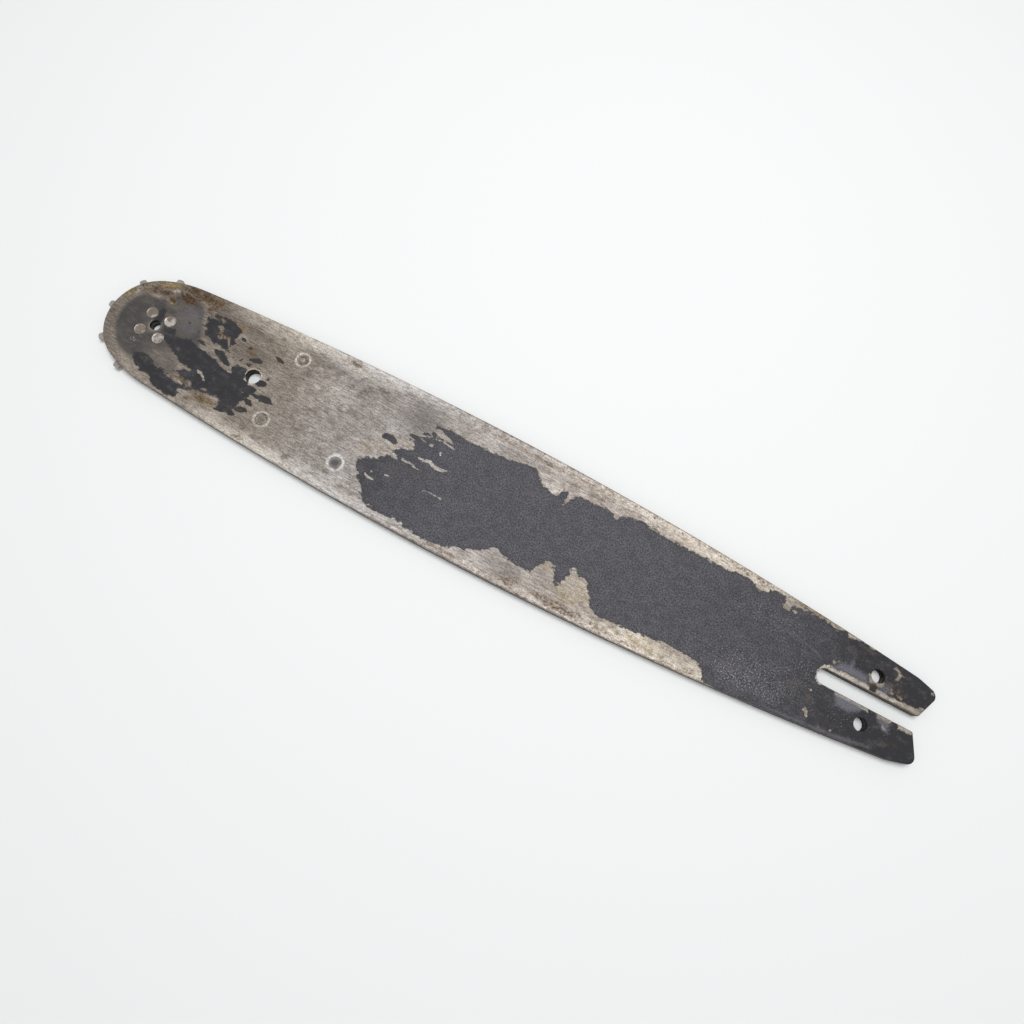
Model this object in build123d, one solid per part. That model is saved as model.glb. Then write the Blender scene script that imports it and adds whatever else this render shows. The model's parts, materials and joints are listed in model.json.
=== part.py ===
# A chainsaw guide bar of the laminated kind: two side plates spot-welded to a smaller core plate,
# with a riveted sprocket nose that turns on loose rollers.
# The bar lies on its flat side in millimetres, X from nose to tail and Z up, and the origin is
# on the floor under the middle of its box.
import math
import os

from build123d import *

# Side outline; lengths along the bar are counted from the nose centre
NOSE_RADIUS = 22.3
SHOULDER_RADIUS = 54.0
SHOULDER_WIDTH = 50.0
BAR_WIDTH = 60.6
WIDEST_X = 148.8
TAIL_REACH = 356.9
TAIL_WIDTH = 35.2
TAIL_CORNER_BACK = 4.4
TAIL_CORNER_TAPER = 16.3
TAIL_CORNER_RADIUS = 12.0
TAIL_END_SLANT = 24.0
TAIL_TIP_RADIUS = 3.0

# Plates and the chain groove between their rails
SIDE_PLATE = 1.45
CORE_PLATE = 1.30
GROOVE_DEPTH = 8.0
RAIL_CHAMFER = 0.3

# Stud slot, tension and oil holes, hanging hole
SLOT_WIDTH = 6.5
SLOT_LENGTH = 41.8
SLOT_MOUTH_RADIUS = 0.8
TENSION_HOLE_RADIUS = 2.8
TENSION_HOLE_BACK = 19.5
TENSION_HOLE_OFFSET = 10.35
HANG_HOLE_RADIUS = 3.3
HANG_HOLE_X = 50.6

# Dimples that the spot welds leave in both faces
WELD_PLACES = [(65.0, 17.0), (64.5, -15.0), (102.0, -16.5)]
WELD_RADIUS = 2.5
WELD_DEPTH = 0.12

# Nose rivets and the hole between them
RIVET_COUNT = 4
RIVET_PITCH_RADIUS = 6.56
RIVET_RADIUS = 2.25
RIVET_HEAD_RADIUS = 2.6
RIVET_HEAD_DEPTH = 0.35
RIVET_FIT = 0.02
NOSE_HOLE_RADIUS = 2.4

# Nose bearing and sprocket
RACE_RIM = 0.95
ROLLER_DIAMETER = 3.8
ROLLER_SPACING = 0.05
BEARING_GAP = 0.05
SIDE_GAP = 0.05
SPROCKET_HUB_WALL = 2.6
TOOTH_COUNT = 9
TOOTH_REACH = 2.56
TOOTH_TIP_WIDTH = 2.7
TOOTH_TIP_CHAMFER = 0.5
TOOTH_FLANK_ANGLE = 9.0
TOOTH_ROOT_FILLET = 2.4
ROOT_FILLET_LIMIT = 0.45
CORE_CLEARANCE = 0.7

# How close two corners lie to count as the same when one is picked
SAME_PLACE = 0.001

# Heights
thickness = 2 * SIDE_PLATE + CORE_PLATE
core_top = SIDE_PLATE + CORE_PLATE
running_width = CORE_PLATE - 2 * SIDE_GAP
cut_through = 3 * thickness

# Nose radii, each built on the one inside it
race_radius = RIVET_PITCH_RADIUS + RIVET_RADIUS + RACE_RIM
roller_pitch_radius = race_radius + BEARING_GAP + ROLLER_DIAMETER / 2
sprocket_bore_radius = roller_pitch_radius + ROLLER_DIAMETER / 2 + BEARING_GAP
tooth_root_radius = sprocket_bore_radius + SPROCKET_HUB_WALL
tooth_tip_radius = NOSE_RADIUS + TOOTH_REACH

# Rail arcs: the shoulder touches the nose arc, the front rail touches the shoulder, and the front
# and rear rails meet at the widest place
shoulder_y = SHOULDER_WIDTH / 2 - SHOULDER_RADIUS
shoulder_x = math.sqrt((SHOULDER_RADIUS - NOSE_RADIUS) ** 2 - shoulder_y**2)
shoulder_centre = Vector(shoulder_x, shoulder_y)
front_run = WIDEST_X - shoulder_x
front_drop = BAR_WIDTH / 2 - shoulder_y
front_radius = (front_run**2 + front_drop**2 - SHOULDER_RADIUS**2) / (BAR_WIDTH - SHOULDER_WIDTH)
front_centre = Vector(WIDEST_X, BAR_WIDTH / 2 - front_radius)
rear_run = TAIL_REACH - TAIL_CORNER_BACK - WIDEST_X
rear_drop = (BAR_WIDTH - TAIL_WIDTH) / 2
rear_radius = (rear_run**2 + rear_drop**2) / (2 * rear_drop)
rear_centre = Vector(WIDEST_X, BAR_WIDTH / 2 - rear_radius)
end_slope = math.tan(math.radians(TAIL_END_SLANT))


def arc_about(centre, start, end):
    """The shorter arc from start to end about a centre."""
    middle = (start - centre + end - centre).normalized() * (start - centre).length
    return ThreePointArc(start, centre + middle, end)


def bar_outline(inset):
    """The bar's side outline, drawn in by inset from the nose and the rails but not the tail end."""
    nose_tip = Vector(inset - NOSE_RADIUS, 0)
    nose_end = shoulder_centre.normalized() * (inset - NOSE_RADIUS)
    to_shoulder = (shoulder_centre - front_centre).normalized()
    shoulder_end = front_centre + to_shoulder * (front_radius - inset)
    widest = Vector(WIDEST_X, BAR_WIDTH / 2 - inset)
    to_corner = Vector(rear_run, rear_radius - rear_drop).normalized()
    corner = rear_centre + to_corner * (rear_radius - inset)
    taper = Vector(1, 0).rotate(Axis.Z, -TAIL_CORNER_TAPER)
    to_end = TAIL_REACH + (corner.Y - SLOT_WIDTH / 2) * end_slope - corner.X
    tip = corner + taper * (to_end / (taper.X - taper.Y * end_slope))
    end_middle = Vector(TAIL_REACH - SLOT_WIDTH / 2 * end_slope, 0)
    half = Curve() + [
        arc_about(Vector(0, 0), nose_tip, nose_end),
        arc_about(shoulder_centre, nose_end, shoulder_end),
        arc_about(front_centre, shoulder_end, widest),
        arc_about(rear_centre, widest, corner),
        Line(corner, tip),
        Line(tip, end_middle),
    ]
    outline = make_face(half + mirror(half, about=Plane.XZ))
    corners = outline.vertices().filter_by_position(Axis.X, corner.X - SAME_PLACE, corner.X + SAME_PLACE)
    outline = fillet(corners, TAIL_CORNER_RADIUS)
    tips = outline.vertices().sort_by(Axis.X)[-2:]
    return fillet(tips, TAIL_TIP_RADIUS)


def stud_slot():
    """The slot that opens at the tail, with a round inner end."""
    round_x = TAIL_REACH - SLOT_LENGTH + SLOT_WIDTH / 2
    past_tail = SLOT_LENGTH + BAR_WIDTH
    run = Pos(round_x, 0) * Rectangle(past_tail, SLOT_WIDTH, align=(Align.MIN, Align.CENTER))
    return run + Pos(round_x, 0) * Circle(SLOT_WIDTH / 2)


def plate_holes():
    """The tension and oil holes beside the slot, and the hanging hole."""
    holes = Pos(HANG_HOLE_X, 0) * Circle(HANG_HOLE_RADIUS)
    for side in (-1, 1):
        place = Pos(TAIL_REACH - TENSION_HOLE_BACK, side * TENSION_HOLE_OFFSET)
        holes += place * Circle(TENSION_HOLE_RADIUS)
    return holes


def plate_face(inset):
    """A plate's outline with the slot and its holes cut out of it."""
    face = bar_outline(inset) - stud_slot()
    mouth = face.vertices().filter_by_position(Axis.X, TAIL_REACH - SAME_PLACE, TAIL_REACH + SAME_PLACE)
    return fillet(mouth, SLOT_MOUTH_RADIUS) - plate_holes()


def rivet(growth):
    """One nose rivet, its ends upset into the side plates' countersinks; growth swells it into its hole."""
    head = RIVET_HEAD_RADIUS + growth
    shank = RIVET_RADIUS + growth
    on_base = (Align.CENTER, Align.CENTER, Align.MIN)
    lower_head = Cone(head, shank, RIVET_HEAD_DEPTH, align=on_base)
    upper_head = Pos(0, 0, thickness - RIVET_HEAD_DEPTH) * Cone(shank, head, RIVET_HEAD_DEPTH, align=on_base)
    return Cylinder(shank, thickness, align=on_base) + lower_head + upper_head


def on_rivet_circle(piece):
    """Copies of a piece, one at each rivet's place."""
    places = PolarLocations(RIVET_PITCH_RADIUS, RIVET_COUNT, start_angle=180 / RIVET_COUNT)
    return [place * piece for place in places]


def nose_rivets():
    """The rivets, as separate solids."""
    return Compound(on_rivet_circle(rivet(0)))


def side_plate():
    """The upper side plate: chamfered rail, rivet holes, nose hole and the dimples of the spot welds."""
    plate = Pos(0, 0, core_top) * extrude(plate_face(0), SIDE_PLATE)
    rail = plate.faces().sort_by(Axis.Z)[-1].outer_wire().edges()
    plate = chamfer(rail, RAIL_CHAMFER)
    plate -= Cylinder(NOSE_HOLE_RADIUS, cut_through)
    for hole in on_rivet_circle(rivet(RIVET_FIT)):
        plate -= hole
    for place in WELD_PLACES:
        plate -= Pos(*place, thickness) * Cylinder(WELD_RADIUS, 2 * WELD_DEPTH)
    return plate


def core_plate():
    """The core plate, short of the rails by the groove and cut back round the sprocket."""
    plate = Pos(0, 0, SIDE_PLATE) * extrude(plate_face(GROOVE_DEPTH), CORE_PLATE)
    return plate - Cylinder(tooth_tip_radius + CORE_CLEARANCE, cut_through)


def bearing_race():
    """The disc that the rollers run on, riveted between the side plates."""
    race = Pos(0, 0, thickness / 2) * Cylinder(race_radius, CORE_PLATE)
    race -= Cylinder(NOSE_HOLE_RADIUS, cut_through)
    for hole in on_rivet_circle(rivet(RIVET_FIT)):
        race -= hole
    return race


def bearing_rollers():
    """The loose rollers, as many as fit round the race."""
    pitch = ROLLER_DIAMETER + ROLLER_SPACING
    count = math.floor(2 * math.pi * roller_pitch_radius / pitch)
    roller = Pos(0, 0, thickness / 2) * Cylinder(ROLLER_DIAMETER / 2, running_width)
    return [place * roller for place in PolarLocations(roller_pitch_radius, count)]


def nose_sprocket():
    """The star that carries the chain round the nose: blunt teeth with round gullets on a hub ring."""
    tip = TOOTH_TIP_WIDTH / 2
    height = tooth_tip_radius - sprocket_bore_radius
    foot = tip + height * math.tan(math.radians(TOOTH_FLANK_ANGLE))
    tooth = make_face(
        Polyline(
            (sprocket_bore_radius, -foot),
            (tooth_tip_radius, -tip),
            (tooth_tip_radius, tip),
            (sprocket_bore_radius, foot),
            close=True,
        )
    )
    tooth = chamfer(tooth.vertices().sort_by(Axis.X)[-2:], TOOTH_TIP_CHAMFER)
    star = Circle(tooth_root_radius)
    for place in PolarLocations(0, TOOTH_COUNT, start_angle=180):
        star += place * tooth
    star -= Circle(sprocket_bore_radius)
    roots = [v for v in star.vertices() if abs(Vector(v.X, v.Y).length - tooth_root_radius) < SAME_PLACE]
    gullet = 2 * math.pi * tooth_root_radius / TOOTH_COUNT - 2 * foot  # room between two teeth's feet
    star = fillet(roots, min(TOOTH_ROOT_FILLET, ROOT_FILLET_LIMIT * gullet))
    return Pos(0, 0, (thickness - running_width) / 2) * extrude(star, running_width)


upper_plate = side_plate()
pieces = {
    "upper_side_plate": upper_plate,
    "lower_side_plate": mirror(upper_plate, about=Plane.XY.offset(thickness / 2)),
    "core_plate": core_plate(),
    "nose_sprocket": nose_sprocket(),
    "bearing_race": bearing_race(),
    "nose_rivets": nose_rivets(),
}
for number, roller in enumerate(bearing_rollers(), start=1):
    pieces[f"bearing_roller_{number:02d}"] = roller

# The origin goes under the middle of the box that runs from a tooth tip to the tail
tail_end = upper_plate.bounding_box().max.X
to_origin = Pos(-(tail_end - tooth_tip_radius) / 2, 0, 0)

os.makedirs("parts", exist_ok=True)
for name, piece in pieces.items():
    export_step(to_origin * piece, f"parts/{name}.step")
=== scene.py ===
# A worn chainsaw guide bar, lying flat on a pale table.
import json
import math

import bmesh
import bpy
import numpy as np
from mathutils import Matrix, Vector, kdtree


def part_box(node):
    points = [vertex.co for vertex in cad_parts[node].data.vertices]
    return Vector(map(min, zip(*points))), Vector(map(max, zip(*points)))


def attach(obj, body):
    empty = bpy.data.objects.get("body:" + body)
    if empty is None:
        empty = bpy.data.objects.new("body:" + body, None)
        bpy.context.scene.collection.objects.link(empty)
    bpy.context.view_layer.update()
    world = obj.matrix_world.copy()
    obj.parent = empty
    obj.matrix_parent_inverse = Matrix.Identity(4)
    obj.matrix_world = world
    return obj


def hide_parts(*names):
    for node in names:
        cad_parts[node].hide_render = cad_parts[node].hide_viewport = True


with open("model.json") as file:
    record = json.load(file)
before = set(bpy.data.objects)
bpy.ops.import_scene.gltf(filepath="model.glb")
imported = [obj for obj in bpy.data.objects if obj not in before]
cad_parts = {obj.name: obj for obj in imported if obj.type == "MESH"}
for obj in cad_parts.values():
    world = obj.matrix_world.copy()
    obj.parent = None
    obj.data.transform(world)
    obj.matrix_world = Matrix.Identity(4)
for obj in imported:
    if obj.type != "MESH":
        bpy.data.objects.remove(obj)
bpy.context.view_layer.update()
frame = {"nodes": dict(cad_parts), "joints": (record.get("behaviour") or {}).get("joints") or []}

# Core plate
# A thinner, smaller sheet between the side plates, whose edge is the floor of the groove in the rim.
# It was blanked from cold-rolled steel and spot-welded in; old oil has turned it a dull brown-black, and its
# colour is set darker still as painted shade in the groove and the slot.
MM = 0.001


def linear(hex_colour):
    """An sRGB hex colour as linear red, green, blue and alpha."""
    channels = [int(hex_colour[place : place + 2], 16) / 255 for place in (1, 3, 5)]
    return [c / 12.92 if c <= 0.04045 else ((c + 0.055) / 1.055) ** 2.4 for c in channels] + [1.0]


def add_node(material, kind, inputs, out=0, **settings):
    """Adds a node, sets or links its inputs, and gives back one of its outputs.

    On a Mix node, input 0 is the share, inputs 2 and 3 are numbers, and inputs 6 and 7 are colours.
    """
    node = material.node_tree.nodes.new("ShaderNode" + kind)
    for name, value in settings.items():
        setattr(node, name, value)
    for name, value in inputs.items():
        if isinstance(value, bpy.types.NodeSocket):
            material.node_tree.links.new(value, node.inputs[name])
        else:
            node.inputs[name].default_value = value
    return node.outputs[out] if node.outputs else None


def new_material(name):
    """A node material with nothing in it yet."""
    material = bpy.data.materials.new(name)
    material.use_nodes = True
    material.node_tree.nodes.clear()
    return material


def dress(piece, material):
    """Gives a piece this material alone."""
    piece.data.materials.clear()
    piece.data.materials.append(material)


def oiled_steel(name, clean, oiled, patch_mm, roughness):
    """Steel under a patchy film of old oil: grey where it is rubbed clean, brown and dull elsewhere."""
    roughness_swing = 0.15
    relief_mm = 0.02
    material = new_material(name)
    place = add_node(material, "TexCoord", {}, out="Object")
    in_mm = add_node(material, "VectorMath", {0: place, "Scale": 1 / MM}, operation="SCALE")
    film = add_node(
        material, "TexNoise", {"Vector": in_mm, "Scale": 1 / patch_mm, "Detail": 5.0, "Roughness": 0.65}
    )
    extra = add_node(material, "Attribute", {}, out="Fac", attribute_name="extra_oil")
    oil = add_node(material, "Math", {0: film, 1: extra}, operation="ADD")
    amount = add_node(material, "MapRange", {"Value": oil, "From Min": 0.38, "From Max": 0.62})
    colour = add_node(
        material, "Mix", {0: amount, 6: linear(clean), 7: linear(oiled)}, out=2, data_type="RGBA"
    )
    dullness = add_node(
        material,
        "MapRange",
        {"Value": film, "To Min": roughness - roughness_swing, "To Max": roughness + roughness_swing},
    )
    relief = add_node(material, "Bump", {"Height": film, "Distance": relief_mm * MM, "Strength": 0.6})
    shader = add_node(
        material,
        "BsdfPrincipled",
        {"Base Color": colour, "Roughness": dullness, "Metallic": 0.6, "Normal": relief},
    )
    add_node(material, "OutputMaterial", {"Surface": shader})
    return material


dress(frame["nodes"]["core_plate"], oiled_steel("oily_steel_painted_dark", "#3d3730", "#1e1a16", 4.0, 0.55))

# Bearing race and rollers
# The race is a hardened disc that the rivets hold between the side plates; the loose rollers run round it.
# Both are ground bearing steel under a film of grease, dark and a little shiny.
bearing_steel = oiled_steel("greased_bearing_steel", "#4c4740", "#241f1a", 2.0, 0.35)
dress(frame["nodes"]["bearing_race"], bearing_steel)
for name in frame["nodes"]:
    if name.startswith("bearing_roller"):
        dress(frame["nodes"][name], bearing_steel)

# Nose sprocket
# A star with blunt teeth that turns on the rollers inside the nose, blanked from hardened steel.
# Use keeps the tooth tips rubbed to a pale grey, and oil and fine dust stay on the flanks.
dress(frame["nodes"]["nose_sprocket"], oiled_steel("rubbed_sprocket_steel", "#b6b0a8", "#948d84", 1.5, 0.5))

# Side plates
# Two like plates of hardened steel, blanked, ground along the rails and spot-welded over the core plate.
# Their charcoal paint is worn through by wood along the rails, and by handling and chips at the nose.
# Places are counted in mm from the nose centre, X to the tail and Y to the far rail.
nose_x = frame["joints"][0]["pos_m"][0] / MM
# Corners closer than this in mm are one corner, and triangles that lie as flat as this are one face
MERGE_GAP = 0.001
FLAT_ANGLE = math.radians(0.05)
SMOOTH_ANGLE = math.radians(30)
# The least upright share of the normal of a flat face
LEVEL = 0.99


def select_only(piece):
    """Makes one object the only selected and active one."""
    bpy.ops.object.select_all(action="DESELECT")
    piece.select_set(True)
    bpy.context.view_layer.objects.active = piece


def copy_node(node, name):
    """A copy of a solid's mesh in an object of its own, with its loose triangles merged."""
    piece = bpy.data.objects.new(name, frame["nodes"][node].data.copy())
    bpy.context.scene.collection.objects.link(piece)
    select_only(piece)
    bpy.ops.object.mode_set(mode="EDIT")
    bpy.ops.mesh.select_mode(type="FACE")
    bpy.ops.mesh.select_all(action="SELECT")
    bpy.ops.mesh.remove_doubles(threshold=MERGE_GAP * MM)
    bpy.ops.mesh.dissolve_limited(angle_limit=FLAT_ANGLE)
    bpy.ops.object.mode_set(mode="OBJECT")
    return piece


def divide_face(piece, low, high, grid, up):
    """Cuts the flat face that looks up or down into a fine grid, so that it can carry the wear."""
    bpy.ops.object.mode_set(mode="EDIT")
    mesh = bmesh.from_edit_mesh(piece.data)
    for face in mesh.faces:
        face.select = face.normal.z * up > LEVEL
    bmesh.update_edit_mesh(piece.data)
    bpy.ops.mesh.hide(unselected=True)
    for x in np.arange(low.x + grid * MM / 2, high.x, grid * MM):
        bpy.ops.mesh.select_all(action="SELECT")
        bpy.ops.mesh.bisect(plane_co=(x, 0, 0), plane_no=(1, 0, 0))
    for y in np.arange(low.y + grid * MM / 2, high.y, grid * MM):
        bpy.ops.mesh.select_all(action="SELECT")
        bpy.ops.mesh.bisect(plane_co=(0, y, 0), plane_no=(0, 1, 0))
    bpy.ops.mesh.reveal()
    bpy.ops.object.mode_set(mode="OBJECT")
    bpy.ops.object.shade_smooth_by_angle(angle=SMOOTH_ANGLE)


def distance_to(points, line):
    """How far each point lies from a line through given points, in mm."""
    nearest = np.full(len(points), np.inf)
    for start, end in zip(line[:-1], line[1:]):
        start, along = np.array(start), np.subtract(end, start)
        share = np.clip((points - start) @ along / (along @ along), 0, 1)
        nearest = np.minimum(nearest, np.hypot(*(points - start - share[:, None] * along).T))
    return nearest


def depth_inside(points, outline):
    """How deep each point lies inside a closed outline, in mm; outside it is negative."""
    ring = list(outline) + [outline[0]]
    inside = np.zeros(len(points), bool)
    for (x0, y0), (x1, y1) in zip(ring[:-1], ring[1:]):
        if y0 != y1:
            crosses = (y0 > points[:, 1]) != (y1 > points[:, 1])
            inside ^= crosses & (points[:, 0] < x0 + (points[:, 1] - y0) * (x1 - x0) / (y1 - y0))
    return np.where(inside, 1, -1) * distance_to(points, ring)


def soft_patches(points, patches):
    """How strongly soft oval patches colour each point.

    A patch has a centre, half its length, half its width and a strength. It is full up to half of the way
    to its rim, and is gone half as far again beyond the rim.
    """
    fade_end = 1.5
    total = np.zeros(len(points))
    for x, y, half_length, half_width, strength in patches:
        away = np.hypot((points[:, 0] - x) / half_length, (points[:, 1] - y) / half_width)
        total = np.maximum(total, strength * np.clip(fade_end - away, 0, 1))
    return total


def rings(points, marks):
    """How strongly rings colour each point: centre, inner and outer radius and strength."""
    blur = 0.6
    total = np.zeros(len(points))
    for x, y, inner, outer, strength in marks:
        radius = np.hypot(points[:, 0] - x, points[:, 1] - y)
        band = np.clip((outer - radius) / blur + 0.5, 0, 1) * np.clip((radius - inner) / blur + 0.5, 0, 1)
        total = np.maximum(total, strength * band)
    return total


def filled(points, outlines):
    """How strongly drawn areas colour each point; each has a strength and fades over its blur in mm."""
    total = np.zeros(len(points))
    for outline, strength, blur in outlines:
        total = np.maximum(total, strength * np.clip(depth_inside(points, outline) / blur + 0.5, 0, 1))
    return total


def stroke_depth(points, line, half_width):
    """How deep each point lies in a stroke that thins towards both ends, in mm; outside it is negative."""
    taper = 0.7
    lengths = [math.dist(start, end) for start, end in zip(line[:-1], line[1:])]
    deepest = np.full(len(points), -np.inf)
    passed = 0.0
    for start, end, length in zip(line[:-1], line[1:], lengths):
        along = np.subtract(end, start)
        share = np.clip((points - start) @ along / length**2, 0, 1)
        away = np.hypot(*(points - start - share[:, None] * along).T)
        from_middle = 2 * (passed + share * length) / sum(lengths) - 1
        deepest = np.maximum(deepest, half_width * (1 - taper * from_middle**2) - away)
        passed += length
    return deepest


def soft_strokes(points, strokes, blur):
    """How strongly strokes colour each point: a line, half its width and a strength; the blur is in mm."""
    total = np.zeros(len(points))
    for line, half_width, strength in strokes:
        depth = stroke_depth(points, line, half_width)
        total = np.maximum(total, strength * np.clip(depth / blur + 0.5, 0, 1))
    return total


def store(piece, name, *amounts):
    """Keeps the strongest of some amounts for each corner of the mesh, for the material to read."""
    layer = piece.data.attributes.new(name, "FLOAT", "POINT")
    layer.data.foreach_set("value", np.max(amounts, axis=0).astype(np.float32))


def corner_places(piece):
    """The mesh's corners in mm from the nose centre."""
    flat = np.empty(3 * len(piece.data.vertices))
    piece.data.vertices.foreach_get("co", flat)
    return flat.reshape(-1, 3) / MM - (nose_x, 0, 0)


def rail_distance(piece, points):
    """How far each corner lies from the chamfer along the outer edge, in mm."""
    slope_low, slope_high = 0.3, 0.95
    nose_holes_reach = 12
    edge = set()
    for face in piece.data.polygons:
        from_nose = math.hypot(*face.center.xy / MM - Vector((nose_x, 0)))
        if slope_low < abs(face.normal.z) < slope_high and from_nose > nose_holes_reach:
            edge.update(face.vertices)
    tree = kdtree.KDTree(len(edge))
    for corner in edge:
        tree.insert((*points[corner, :2], 0), corner)
    tree.balance()
    return np.array([tree.find((x, y, 0))[2] for x, y in points[:, :2]])


# Chips, scratches and flecks are steeper than the edges of paint, so that the flakes shift them less
STEEP = 1.8
# Rubbing along the rail is full for the first fifth of its reach and then fades
RAIL_FADE = 1.2
# Walls farther than this from the outer edge belong to the slot and the holes, and are painted near-black:
# painted shade down in them, over their oil and grime
OUTER_WALL = 3
SLOT_HALF_WIDTH = 3.6
SLOT_START = 314
# In the slot that painted shade is less dark towards the tail; the walls of the weld dimples are not darkened
SLOT_DARKENING = ([332, 342], [1.0, 0.5])
WELDS = [(65.0, 17.0), (64.5, -15.0), (102.0, -16.5)]
WELD_REACH = 4.5


def lay_wear(piece, wear):
    """Stores where paint, film, stains and rubbing lie on a plate, from the listed outlines and marks."""
    corners = corner_places(piece)
    places = corners[:, :2]
    x, y = places.T
    rail = rail_distance(piece, corners)
    near_rail = np.clip(RAIL_FADE - rail / wear["rail_reach"], 0, 1)

    painted = np.max([depth_inside(places, outline) for outline in wear["paint"]], axis=0)
    for line, half_width, _ in wear["flecks"]:
        painted = np.maximum(painted, STEEP * stroke_depth(places, line, half_width))
    for outline in wear["bare"]:
        painted = np.minimum(painted, -STEEP * depth_inside(places, outline))
    for line, half_width in wear["scratches"]:
        painted = np.minimum(painted, -STEEP * stroke_depth(places, line, half_width))
    store(piece, "paint_depth", painted)

    store(piece, "dust", np.interp(x, *wear["dust"]))
    store(piece, "coolness", np.interp(x, *wear["coolness"]))
    store(
        piece,
        "scuff",
        filled(places, wear["scuffs"]),
        soft_strokes(places, wear["faint_lines"], blur=0.6),
    )
    store(piece, "specks", soft_patches(places, wear["specks"]))
    store(piece, "film", filled(places, wear["film"]) * (1 - soft_patches(places, wear["thin"])))
    store(piece, "shade", soft_patches(places, wear["shade"]))
    store(piece, "grime", soft_patches(places, wear["dirt"]), rings(places, wear["dark_rings"]))
    store(piece, "flecks", soft_strokes(places, wear["flecks"], blur=1.0))
    store(
        piece,
        "pale",
        near_rail * np.interp(x, *wear["rail_pale"]),
        soft_patches(places, wear["pale"]),
        rings(places, wear["pale_rings"]),
        soft_strokes(places, wear["pale_strokes"], blur=0.8),
    )
    store(
        piece,
        "brown",
        near_rail * np.interp(x, *wear["rail_brown"]),
        soft_patches(places, wear["brown"]),
        soft_strokes(places, wear["brown_strokes"], blur=1.2),
    )
    store(
        piece,
        "ochre",
        soft_patches(places, wear["ochre"]),
        soft_strokes(places, wear["ochre_strokes"], blur=1.2),
    )

    # Where the walls get painted shade, near-black down in the slot and the holes
    in_slot = (np.abs(y) < SLOT_HALF_WIDTH) & (x > SLOT_START)
    inner = np.where(in_slot, np.interp(x, *SLOT_DARKENING), rail > OUTER_WALL)
    for weld_x, weld_y in WELDS:
        inner[np.hypot(x - weld_x, y - weld_y) < WELD_REACH] = 0.0
    store(piece, "inner", inner)


# The upper plate's wear
# Outlines run round an area point by point. Strokes give the points of a line and half its width.
# Soft patches give a centre, half the length and half the width; rings give a centre and two radii.
# A strength comes next where there is one, and last the width in mm that an outline's edge fades over.
# What changes along the bar gives places in X and the amounts there.
long_field = [
    (131, 18.6), (136, 19.4), (141, 19.4), (147, 18.7), (160, 19.2), (170, 20.5), (174, 21.6),
    (178, 21.3), (181, 18.2), (183.5, 16.8), (190, 15.6), (192.5, 18.2), (194, 19), (194.6, 12.3),
    (197.5, 18.5), (200, 19.8), (207, 20.2), (212, 21.2), (216, 20.8), (216.5, 17.5), (218.5, 21),
    (228, 22), (258, 20.7), (264, 21.2), (274, 21.8), (279, 21.7), (281.5, 19.4), (284, 20.2),
    (288, 21.9), (291.5, 21.5), (292.5, 20), (293.2, 17.4), (295.5, 17.8), (296, 20), (303, 20.9),
    (313, 20.4), (317.5, 20.0), (319.5, 22.5), (321.5, 19.8), (331, 19.4), (337, 20.5), (345, 26),
    (370, 26), (370, -30), (276, -30), (275.5, -25), (273.5, -22), (271.5, -19.6), (262, -18.8),
    (256, -18.6), (243, -20.5), (226, -21.5), (223, -18.8), (220.5, -14.8), (218.6, -11.8), (216.6, -10),
    (214.6, -11), (212.8, -9.8), (211, -9), (209.8, -10.4), (209.7, -14.2), (208.8, -17), (207, -18.4),
    (205.6, -17), (204.6, -14.4), (203, -12), (201, -10.9), (199, -11.6), (197.2, -14.2), (195.8, -18.8),
    (190, -19), (186, -18.2), (181.5, -16.9), (179, -15.4), (177, -17.6), (174.2, -20.4), (168, -23),
    (160, -25.5), (152, -27.4), (141, -26.8), (139.2, -25.6), (137.6, -26.4), (135.4, -25.4),
    (134, -26.8), (128, -26.2), (121, -25.3), (117, -21), (113.5, -17), (110, -13.4), (109.2, -10.4),
    (113, -8), (117, -6), (119, -3), (123, -2.2), (119.8, 0), (124, 3), (128, 4.6), (127, 6.2),
    (122.5, 7.4), (128, 9.2), (126.5, 10.8), (131, 12), (136, 12.6), (131.5, 14.2), (134.5, 16),
    (131.5, 17.4),
]
nose_patch = [
    (4.2, 1.4), (9, 2), (11, -0.4), (15, 0.8), (18, 1.2), (22, 0.2), (27, 0.4), (33, -1), (38, -3),
    (40.8, -2.6), (40.5, 0.6), (44, 1.8), (47, 1.4), (48, -3), (51, -4.2), (54.5, -3.8), (56, -6.5),
    (54.5, -8), (52, -12), (52.5, -15), (51, -17.5), (48.5, -20), (45, -20.5), (44, -17), (42.5, -15.8),
    (38, -16.5), (33, -17.4), (29, -15.9), (24, -15.4), (20, -13.6), (22, -11.2), (25, -10.9),
    (22.5, -10.1), (19, -9.6), (15.5, -7.2), (10, -5.8), (6.4, -4),
]
lower_nose_patch = [
    (-0.8, -15.2), (3.5, -14.2), (8.5, -14.4), (11, -16), (18, -16.4), (27, -17.4), (36, -18.3),
    (30, -19.2), (26.2, -19.8), (27.4, -22), (26.4, -24.8), (22, -25.2), (16.5, -24.8), (13, -22.4),
    (10.5, -20.6), (7, -21.2), (3.5, -19.4),
]
upper_nose_patch = [
    (16.6, 14.8), (19.5, 14.6), (21, 15.8), (25, 15.4), (27, 16.8), (30, 15.4), (33.4, 16), (34.4, 13.4),
    (33.4, 11.6), (35.4, 9.4), (34.4, 6.8), (35.8, 4.4), (31.6, 4.2), (29, 5.6), (26, 4.6), (24, 6.8),
    (21.4, 7), (20.6, 9.4), (18.2, 10.4), (19.2, 12.4),
]
rivet_streak = [(-1.9, 1.5), (-1.9, 4.5), (-2.1, 7.4), (-1.2, 9.4), (0.2, 8.6), (0.8, 5.5), (1.4, 2.2)]
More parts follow.
